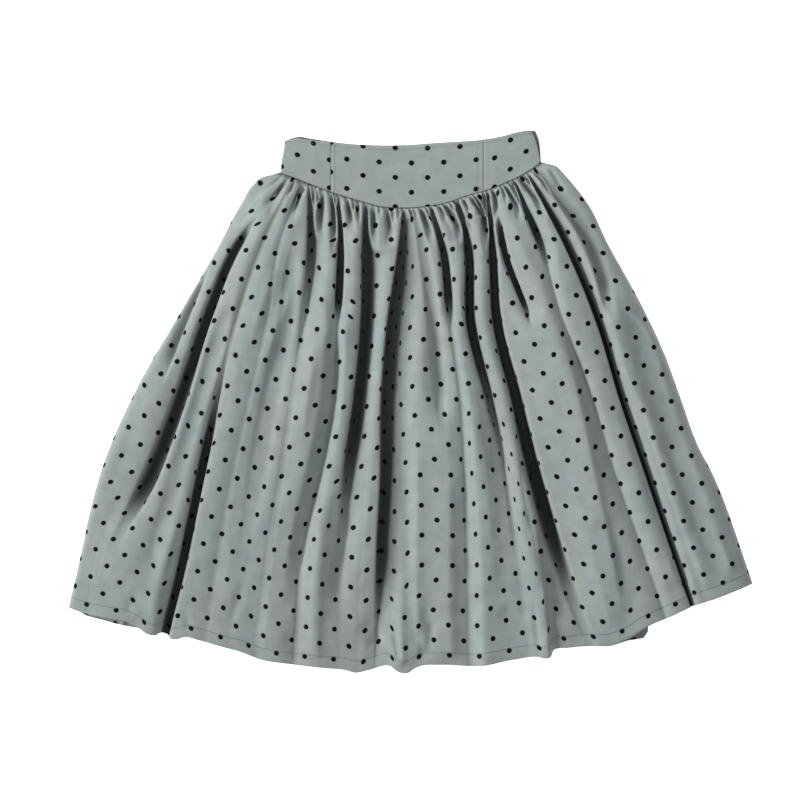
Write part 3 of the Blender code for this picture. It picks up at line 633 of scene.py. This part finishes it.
stitch = {
    "pitch": 3.2, "long": 2.6, "thick": 0.42, "sides": 6,
    # share of the length, thickness, height
    "rings": [(0, 0.45, -0.12), (0.14, 1, 0.08), (0.86, 1, 0.08), (1, 0.45, -0.12)],
}


def sewAlong(name, line, normal):  # separate stitches along a line on the cloth
    run = runAlong(line)
    middles = np.arange(stitch["pitch"] / 2, run[-1], stitch["pitch"])
    up = unit(pointsAt(middles, run, normal))
    start, end = (pointsAt(middles + way * stitch["long"] / 2, run, line) for way in (-1, 1))
    side = np.cross(up, unit(end - start))
    n = stitch["sides"]
    rings = []
    for t, thin, lift in stitch["rings"]:
        middle = start + (end - start) * t + up * lift
        for angle in np.arange(n) * 2 * math.pi / n:
            rings.append(middle + (side * math.cos(angle) + up * math.sin(angle)) * stitch["thick"] / 2 * thin)
    points, faces = np.stack(rings, 1), []
    for k in range(len(middles)):
        first, beyond = k * len(rings), (k + 1) * len(rings)
        for low in range(first, beyond - n, n):
            faces += [(low + i, low + (i + 1) % n, low + n + (i + 1) % n, low + n + i) for i in range(n)]
        faces += [[*range(first, first + n)][::-1], [*range(beyond - n, beyond)]]
    return makePiece(name, points.reshape(-1, 3), faces)


def sewHem(laid):
    line, normal = [], []
    for j in range(laid["grid"].shape[1]):
        height = laid["fromHem"][:, j]
        line.append(pointsAt(-front["hemLine"], height, laid["grid"][:, j]))
        normal.append(pointsAt(-front["hemLine"], height, laid["normal"][:, j]))
    return sewAlong("hemStitches", np.array(line), np.array(normal))


back = {
    "hem": [
        (-438, 619), (-429, 626.5), (-396, 638), (-358, 646.5), (-303, 650), (-175, 680), (-60, 692),
        (60, 684), (150, 676), (221, 666), (257, 671), (286, 663), (306, 659), (312, 634), (364, 613),
        (439, 584),
    ],
    "inset": 3.0, "insetOver": 0.025,
    "wall": 1.1,
    "above": 0.15,
    "tuck": (-10, -6, -4, -2.6, -1.3, 0, 1.3, 2.6, 4, 6, 10),  # columns about each pressed fold
    "between": 4,  # columns from one to the next
    "fullTuck": 24.0,  # the space that a whole one needs
    "tuckDepth": 5.0,
    "tuckWidth": 2.6,
    "tuckPower": 1.6,
    "tuckStarts": 0.04, "tuckFades": 0.6, "fadesBy": 0.5,
    "uneven": (0.55, 0.45, 2.7, 5),  # depth, change of depth, and how fast it goes from tuck to tuck and down
    "rows": 70, "rowsPower": 1.15,
    "inside": 0.15,  # its top is the inside of the skirt, with painted shade for the front's shade over it
}


def backSide(side, corner, inward):
    rows = [(s, x + inward * min(1, s / back["insetOver"]), y) for s, x, y in side[1:-1]]
    return [(0, *layout["backSeam"][corner]), *rows, (1, *back["hem"][corner])]


def makeBack():
    sides = backSide(layout["leftSide"], 0, back["inset"]), backSide(layout["rightSide"], -1, -back["inset"])
    seam = lineThrough(layout["backSeam"], fineShares)
    reach, between = back["tuck"][-1], back["between"]
    depth, change, fromTuck, fromShare = back["uneven"]
    rows, across = [], []
    shares = np.linspace(0, 1, back["rows"]) ** back["rowsPower"]
    for v in shares:
        flat = patch(layout["backSeam"], back["hem"], *sides, fineShares, v)
        run = runAlong(flat)
        valleys = np.r_[0, np.interp(valleyCrossings(flat, v, seam), np.arange(len(run)), run), run[-1]]
        tucks = middlesOf(valleys)[1:-1]
        gaps = np.minimum(np.diff(np.r_[0, tucks]), np.diff(np.r_[tucks, run[-1]]))
        tight = np.minimum(1, gaps / back["fullTuck"])
        stops, dips = [np.linspace(0, tucks[0] - reach * tight[0], between, endpoint=False)], [np.zeros(between)]
        faded = 1 - back["fadesBy"] * ramp(back["tuckFades"], 1, v)
        most = back["tuckDepth"] * ramp(0, back["tuckStarts"], v) * faded
        for k, (tuck, shrink) in enumerate(zip(tucks, tight)):
            last = k + 1 == len(tucks)
            here = np.array(back["tuck"]) * shrink
            deep = most * (depth + change * math.sin(fromTuck * k + fromShare * v)) * shrink
            end = run[-1] if last else tucks[k + 1] - reach * tight[k + 1]
            beyond = np.linspace(tuck + reach * shrink, end, between + 1)[1:between + last]
            stops += [tuck + here, beyond]
            dips.append(deep * np.exp(-np.abs(here / (back["tuckWidth"] * shrink)) ** back["tuckPower"]))
            dips.append(np.zeros(len(beyond)))
        stops, dips = np.concatenate(stops), np.concatenate(dips)
        rows.append(np.column_stack([pointsAt(stops, run, flat), back["above"] + dips]))
        across.append(stops - run[-1] / 2 + np.cumsum(np.abs(np.diff(np.r_[0, dips]))))
    bottom = np.array(rows)
    down = (shares[:, None] - 1) * np.linalg.norm(np.diff(bottom, axis=0), axis=-1).sum(axis=0)
    places = np.stack([np.array(across), down], -1)
    piece = makeSlab("skirtBack", bottom + (0, 0, back["wall"]), bottom, places, back["inside"], down)
    print("back:", len(piece.data.polygons), "faces, area", round(sum(p.area for p in piece.data.polygons) / 2, 3))
    return piece


yoke = {
    "waist": [
        (-163, 14.5), (-146, 11), (-130, 13), (-104, 16), (-78, 18.5), (-39, 20), (0, 19.5), (26, 17.5),
        (65, 15), (91, 13), (117, 9), (143, 2.5), (158.5, 2),
    ],
    "backWaist": [
        (-163, 14.2), (-146, 9), (-130, 11), (-104, 15), (-78, 18), (-39, 19.8), (0, 19.2), (26, 17.2),
        (65, 14.8), (91, 12.8), (117, 8.6), (143, 2), (156, 0.6), (163, 1.4),
    ],
    "leftEnd": [(-163, 14.5), (-164, 26), (-166.5, 40), (-167.7, 55.7)],
    "rightEnd": [(158.5, 2), (163.5, 15), (166.5, 30), (168.6, 42.2)],
    "backRightEnd": [(163, 1.4), (167.5, 13), (169.6, 28), (170.3, 42)],
    "seams": (-103.0, 95.5),
    "wall": 1.8,
    "backAbove": 0.1,
    "backInside": 0.75,  # painted shade: how far the back's top lies in the front's shade
    "round": 0.8,
    "roundStops": (0, 0.13, 0.45, 1),  # rows within the rounding
    "roundBelow": 0.5,
    "roll": 14.0,
    "rollDip": 0.7,
    "wave": 0.35, "waveWide": 42.0, "waveTall": 30.0, "waveSeed": 11,
    "step": 2.6,
    "tall": 78.0,
    # the printed cloth of each piece: the place of a dot, and the steps across and down to the next ones
    "print": {
        "yokeBack": ((0, 30), (40, 0), (0, 39.2)),
        "yokeFrontLeft": ((-125.5, 17.5), (41.6, 6.5), (0, 36.4)),
        "yokeFrontCentre": ((-61.1, 23.4), (42, 0), (0, 38.1)),
        "yokeFrontRight": ((109.9, 36.4), (41, -8.5), (-0.3, 37.7)),
    },
    "sag": 0.00066, "sagAt": 66.0, "sagLevel": 0.6,
    "topLine": 5.6,  # the stitches along the waist, below its edge
    "downLines": (-98.0, 88.0),
    "lineInset": 1.5, "lineGap": 1.0, "linePoints": 60,  # stitches keep this far from the edges and from the seams
    "seeds": (1, 2, 3), "backSeed": 4,
}


def clothPlace(plan, name):
    origin, stepAcross, stepDown = yoke["print"][name]
    steps = np.array([stepAcross, stepDown], float).T
    away = plan.reshape(-1, 2) - origin
    if name == "yokeFrontCentre":  # its rows sag with the waist
        away[:, 1] += yoke["sag"] * (away[:, 0] - yoke["sagAt"]) ** 2 - yoke["sagLevel"]
    return np.linalg.solve(steps, away.T).T * pattern["pitch"]


def yokeTop(across, down, low, seed):
    return low + yoke["wall"] + yoke["wave"] * softNoise(
        across / yoke["waveWide"] + seed, down / yoke["waveTall"] + seed, yoke["waveSeed"])


def endOf(points):
    return [(i / (len(points) - 1), x, y) for i, (x, y) in enumerate(points)]


def insetStops(length, step):  # evenly spaced, with closer ones at each end for a round edge
    r = yoke["round"]
    close = np.array(yoke["roundStops"]) * r
    middle = np.linspace(r, length - r, max(3, round((length - 2 * r) / step)))[1:-1]
    return np.concatenate([close, middle, length - close[::-1]])


def yokeLine(waist, ends, sewnTo, v):  # the crosswise line at share v, from the waist to just above the seam
    bottomEdge = [(x, y - layout["gap"]) for x, y in sewnTo]
    return patch(waist, bottomEdge, endOf(ends[0]), endOf(ends[1]), fineShares, v)


def makeYokePiece(name, waist, ends, low, seed, start=None, stop=None):
    isBack = name == "yokeBack"
    tall, r = yoke["tall"], yoke["round"]
    shares = insetStops(tall, yoke["step"]) / tall
    wide = (waist[-1][0] if stop is None else stop) - (waist[0][0] if start is None else start)
    rows = []
    for v in shares:
        line = yokeLine(waist, ends, layout["backSeam" if isBack else "seam"], v)
        first = line[0, 0] if start is None else start
        last = line[-1, 0] if stop is None else stop
        across = first + insetStops(wide, yoke["step"]) / wide * (last - first)
        rows.append(np.column_stack([across, np.interp(across, *line.T)]))
    plan = np.array(rows)
    across = plan[..., 0]
    fromEnds = np.minimum(across - across[:, :1], across[:, -1:] - across)
    fromEdge = np.minimum(fromEnds, np.minimum(shares, 1 - shares)[:, None] * tall)
    bevel = r * (1 - np.sqrt(1 - np.clip(1 - fromEdge / r, 0, 1) ** 2))
    fromLeft = across - across[:, :1] if start is None else yoke["roll"]
    fromRight = across[:, -1:] - across if stop is None else yoke["roll"]
    roll = yoke["rollDip"] * (1 - np.clip(np.minimum(fromLeft, fromRight) / yoke["roll"], 0, 1)) ** 2
    top = np.dstack([plan, yokeTop(across, plan[..., 1], low, seed) - bevel - roll])
    bottom = np.dstack([plan, low + yoke["roundBelow"] * bevel])
    return makeSlab(name, top, bottom, clothPlace(plan, name), yoke["backInside"] if isBack else 0)


def sewYoke(low, seeds):  # along the waist of each front piece, and down beside the two seams
    ends = yoke["leftEnd"], yoke["rightEnd"]
    inset, gap, n = yoke["lineInset"] / yoke["tall"], yoke["lineGap"], yoke["linePoints"]
    waist, top, bottom = (
        yokeLine(yoke["waist"], ends, layout["seam"], v) for v in (yoke["topLine"] / yoke["tall"], inset, 1 - inset)
    )
    seamLeft, seamRight = yoke["seams"]
    spans = ((-math.inf, seamLeft - gap), (seamLeft + gap, seamRight - gap), (seamRight + gap, math.inf))
    lines = [(waist[(waist[:, 0] > a) & (waist[:, 0] < b)], seed) for (a, b), seed in zip(spans, seeds)]
    for across in yoke["downLines"]:
        downs = np.linspace(np.interp(across, *top.T), np.interp(across, *bottom.T), n)
        lines.append((np.column_stack([np.full(n, across), downs]), seeds[1]))
    made = []
    for k, (line, seed) in enumerate(lines):
        line = np.column_stack([line, yokeTop(line[:, 0], line[:, 1], low, seed)])
        made.append(sewAlong("yokeStitches" + str(k + 1), line, np.tile([0.0, 0, 1], (len(line), 1))))
    return made


class Wire:  # a socket that arithmetic can be written on
    def __init__(self, finish, socket):
        self.finish, self.socket = finish, socket

    def __add__(self, other):
        return self.finish.math("ADD", self, other)

    def __radd__(self, other):
        return self.finish.math("ADD", other, self)

    def __sub__(self, other):
        return self.finish.math("SUBTRACT", self, other)

    def __rsub__(self, other):
        return self.finish.math("SUBTRACT", other, self)

    def __mul__(self, other):
        return self.finish.math("MULTIPLY", self, other)

    def __rmul__(self, other):
        return self.finish.math("MULTIPLY", other, self)

    def __truediv__(self, other):
        return self.finish.math("DIVIDE", self, other)


class Finish:  # one material and its nodes
    def __init__(self, name):
        self.material = bpy.data.materials.new(name)
        self.material.use_nodes = True
        self.tree = self.material.node_tree
        self.shader = self.tree.nodes["Principled BSDF"]

    def node(self, kind, settings=None, inputs=None, outlet=0):
        made = self.tree.nodes.new(kind)
        for key, value in (settings or {}).items():
            setattr(made, key, value)
        for key, value in (inputs or {}).items():
            self.plug(made.inputs[key], value)
        return Wire(self, made.outputs[outlet])

    def plug(self, socket, value):
        if isinstance(value, Wire):
            self.tree.links.new(value.socket, socket)
        else:
            socket.default_value = value

    def math(self, operation, *values):
        return self.node("ShaderNodeMath", {"operation": operation}, dict(enumerate(values)))

    def mix(self, share, first, second):  # 6 and 7 are the colour sockets, and 2 is the colour that comes out
        return self.node("ShaderNodeMix", {"data_type": "RGBA"}, {0: share, 6: first, 7: second}, outlet=2)

    def steps(self, low, high, value):
        return self.node("ShaderNodeMapRange", {"interpolation_type": "SMOOTHSTEP"},
                         {"Value": value, "From Min": low, "From Max": high})

    def noise(self, place, scale, detail):
        return self.node("ShaderNodeTexNoise", {"noise_dimensions": "2D"},
                         {"Vector": place, "Scale": scale, "Detail": detail})

    def bump(self, strength, distance, height):
        return self.node("ShaderNodeBump", None, {"Strength": strength, "Distance": distance, "Height": height})

    def set(self, **values):
        for label, value in values.items():
            self.plug(self.shader.inputs[label.replace("_", " ")], value)


cloth = {
    "cool": (0.300, 0.352, 0.342, 1), "warm": (0.318, 0.356, 0.330, 1),
    "dot": (0.0012, 0.0018, 0.0015, 1), "dotEdge": 0.0005,
    "roughness": 0.6, "dotRougher": 0.15, "shine": 0.12,
    # noise, as scale and detail; from cool to warm, it is stretched first
    "cloudy": (1.0, 3.0), "cloudStretch": (16, 5, 1), "cloudEdge": (0.35, 0.65),
    "grain": (900.0, 2.0), "grainBy": 0.12,
    "mottle": (55.0, 4.0), "mottleBy": 0.3,
    "hemDark": 0.22, "hemDent": (0.2, 0.9), "hemBelow": 0.6,  # painted shade of the dent along the hem's stitches
    "seamDark": 0.65, "seamShade": (1.6, 4.4), "uneven": (160.0, 1.0), "unevenBy": 3.4,  # painted shade of the puckers along the seam
    "shut": (0.3, 1.0), "tallEnough": (1.0, 9.0),  # how closed and how high a fold is where its painted shade starts, is full
    "shadeLeast": 0.88, "shadeGrows": (8.0, 55.0),  # share of the folds' painted shade at the seam, and away from it
    "shadeDeep": 0.12,  # painted shade: how much of its colour the cloth keeps at the bottom of a deep fold
    "twill": 12000, "twillSlant": 0.5, "weft": 9000, "weaveBy": 0.5,
    "bump": (0.12, 0.0002),
    "yokeLitBy": 1.02,  # painted light: how much lighter the same cloth is on the flat yoke
}


def makeCloth(name, lightness=1.0):
    finish = Finish(name)
    place = finish.node("ShaderNodeUVMap", {"uv_map": "clothPlace"})
    across, down = (finish.node("ShaderNodeSeparateXYZ", None, {0: place}, outlet=k) for k in (0, 1))
    pitchAcross, pitchDown = (step * mm for step in pattern["pitch"])
    a, b = across / pitchAcross, down / pitchDown
    slant, other = a + b, a - b
    offSlant = slant - finish.math("ROUND", slant)
    offOther = other - finish.math("ROUND", other)
    dx = (offSlant + offOther) * (pitchAcross / 2)
    dy = (offSlant - offOther) * (pitchDown / 2)
    away = finish.math("SQRT", dx * dx + dy * dy)
    radius = pattern["dotWide"] * mm / 2
    dots = 1 - finish.steps(radius - cloth["dotEdge"], radius + cloth["dotEdge"], away)
    stretched = finish.node("ShaderNodeVectorMath", {"operation": "MULTIPLY"}, {0: place, 1: cloth["cloudStretch"]})
    cloudy = finish.steps(*cloth["cloudEdge"], finish.noise(stretched, *cloth["cloudy"]))
    grain, mottle, uneven = (finish.noise(place, *cloth[label]) for label in ("grain", "mottle", "uneven"))
    closed, high, hem, seam = (
        finish.node("ShaderNodeAttribute", {"attribute_name": label}, outlet=2)
        for label in ("closed", "high", "hem", "seam")
    )
    least = cloth["shadeLeast"]
    # painted shade: the cloth's colour is darkened where a fold is closed and high
    enclosed = finish.steps(*cloth["shut"], closed) * finish.steps(*cloth["tallEnough"], high)
    enclosed *= least + (1 - least) * finish.steps(*cloth["shadeGrows"], seam)
    shade = 1 - (1 - cloth["shadeDeep"]) * enclosed
    # painted shade: the colour is darkened along the hem's stitch line, as in a dent
    fromLine = finish.math("ABSOLUTE", hem + (front["hemLine"] + cloth["hemBelow"]))
    hemShade = 1 - cloth["hemDark"] * (1 - finish.steps(*cloth["hemDent"], fromLine))
    # painted shade: the colour is darkened in an uneven band just below the seam
    seamShade = 1 - cloth["seamDark"] * (1 - finish.steps(*cloth["seamShade"], seam + cloth["unevenBy"] * uneven))
    bright = (1 - cloth["grainBy"] / 2 + cloth["grainBy"] * grain) * (1 + cloth["mottleBy"] * (mottle - 0.5))
    bright = bright * lightness * shade * hemShade * seamShade
    tint = finish.mix(cloudy, cloth["cool"], cloth["warm"])
    toned = finish.node("ShaderNodeVectorMath", {"operation": "SCALE"}, {0: tint, "Scale": bright})
    twill = finish.math("SINE", (across + down * cloth["twillSlant"]) * cloth["twill"])
    weft = finish.math("SINE", down * cloth["weft"])
    height = (twill + weft) * cloth["weaveBy"] + grain
    finish.set(Base_Color=finish.mix(dots, toned, cloth["dot"]), Specular_IOR_Level=cloth["shine"])
    finish.set(Roughness=cloth["roughness"] + cloth["dotRougher"] * dots, Normal=finish.bump(*cloth["bump"], height))
    return finish.material


threadLook = {
    "dark": (0.12, 0.145, 0.138, 1), "light": (0.2, 0.235, 0.22, 1), "roughness": 0.6,
    "twist": 1500.0, "bump": (0.2, 0.0001),
}


def makeThread():
    finish = Finish("thread")
    place = finish.node("ShaderNodeTexCoord", outlet=3)
    twist = finish.node("ShaderNodeTexNoise", None, {"Vector": place, "Scale": threadLook["twist"], "Detail": 1.0})
    finish.set(Base_Color=finish.mix(twist, threadLook["dark"], threadLook["light"]))
    finish.set(Roughness=threadLook["roughness"], Normal=finish.bump(*threadLook["bump"], twist))
    return finish.material


stage = {
    "floorWide": 40.0, "floorDown": 0.0004, "floor": (0.8, 0.8, 0.8, 1), "specks": (0.9, 0.9, 0.9, 1), "speck": 40.0,
    "roughness": 0.9, "white": (1, 1, 1, 1), "glow": 0.95, "worldGlow": 0.17,
}
lights = [
    # azimuth from +X, elevation, strength, softness in degrees
    ("left", 170, 29, 3.2, 14),
    ("right", 8, 38, 0.55, 20),
]
nearLight = {"at": (-0.25, 0.95, 1.15), "aim": (0, 0.1, 0), "watts": 5.2, "wide": 0.7}  # over the waist
# the camera looks straight down; wide is what it sees of the floor, in metres
lens = {"above": 6.0, "wide": 1.04, "across": -0.01375, "up": 0.00155, "sensor": 36.0, "farthest": 50.0}


def putInScene(name, data, at=(0, 0, 0), towards=None):  # a lamp shines away from where it is turned towards
    made = bpy.data.objects.new(name, data)
    made.location = at
    if towards:
        made.rotation_euler = towards.to_track_quat("Z", "Y").to_euler()
    bpy.context.collection.objects.link(made)
    return made


def makeStage():
    scene = bpy.context.scene
    bpy.ops.mesh.primitive_plane_add(size=stage["floorWide"], location=(0, 0, -stage["floorDown"]))
    floor = bpy.context.object
    floor.name = "floor"
    finish = Finish("paleFloor")
    speck = finish.node("ShaderNodeTexNoise", None, {"Scale": stage["speck"], "Detail": 2.0})
    finish.set(Base_Color=finish.mix(speck, stage["floor"], stage["specks"]), Roughness=stage["roughness"])
    finish.set(Emission_Color=stage["white"], Emission_Strength=stage["glow"])
    floor.data.materials.append(finish.material)
    scene.world = bpy.data.worlds.new("studio")
    scene.world.use_nodes = True
    sky = scene.world.node_tree.nodes["Background"]
    sky.inputs[0].default_value, sky.inputs[1].default_value = stage["white"], stage["worldGlow"]
    for name, azimuth, elevation, energy, soft in lights:
        data = bpy.data.lights.new(name, "SUN")
        data.energy, data.angle = energy, math.radians(soft)
        a, e = math.radians(azimuth), math.radians(elevation)
        putInScene(name, data, towards=Vector((math.cos(a) * math.cos(e), math.sin(a) * math.cos(e), math.sin(e))))
    data = bpy.data.lights.new("near", "AREA")
    data.energy, data.size = nearLight["watts"], nearLight["wide"]
    putInScene("near", data, nearLight["at"], Vector(nearLight["at"]) - Vector(nearLight["aim"]))
    data = bpy.data.cameras.new("camera")
    data.sensor_width, data.clip_end = lens["sensor"], lens["farthest"]
    data.lens = lens["sensor"] * lens["above"] / lens["wide"]
    scene.camera = putInScene("camera", data, (lens["across"], lens["up"], lens["above"]))
    scene.view_settings.view_transform = "Standard"


frontPiece, frontCloth = makeFront()
backPiece = makeBack()
frontLow = layout["backWall"] + layout["gap"]
seamLeft, seamRight = yoke["seams"]
half = layout["gap"] / 2
seeds = yoke["seeds"]
yokeFront = (yoke["waist"], (yoke["leftEnd"], yoke["rightEnd"]), frontLow)
yokeBack = (yoke["backWaist"], (yoke["leftEnd"], yoke["backRightEnd"]), yoke["backAbove"])
yokePieces = {
    "yoke_back": makeYokePiece("yokeBack", *yokeBack, seed=yoke["backSeed"]),
    "yoke_front_left": makeYokePiece("yokeFrontLeft", *yokeFront, stop=seamLeft - half, seed=seeds[0]),
    "yoke_front_centre": makeYokePiece(
        "yokeFrontCentre", *yokeFront, start=seamLeft + half, stop=seamRight - half, seed=seeds[1]),
    "yoke_front_right": makeYokePiece("yokeFrontRight", *yokeFront, start=seamRight + half, seed=seeds[2]),
}
print("yoke made")

gathered = makeCloth("gatheredCloth")
# painted light: the yoke's cloth is the gathered cloth made lighter
yokeLit = makeCloth("yokeLitCloth", cloth["yokeLitBy"])
for piece, node in ((frontPiece, "skirt_front"), (backPiece, "skirt_back")):
    piece.data.materials.append(gathered)
    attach(piece, "root")
    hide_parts(node)
for node, piece in yokePieces.items():
    piece.data.materials.append(yokeLit)
    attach(piece, "root")
    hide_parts(node)
hemStitches = sewHem(frontCloth)
yokeStitches = sewYoke(frontLow, seeds)
thread = makeThread()
for piece in [hemStitches, *yokeStitches]:
    piece.data.materials.append(thread)
    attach(piece, "root")
makeStage()
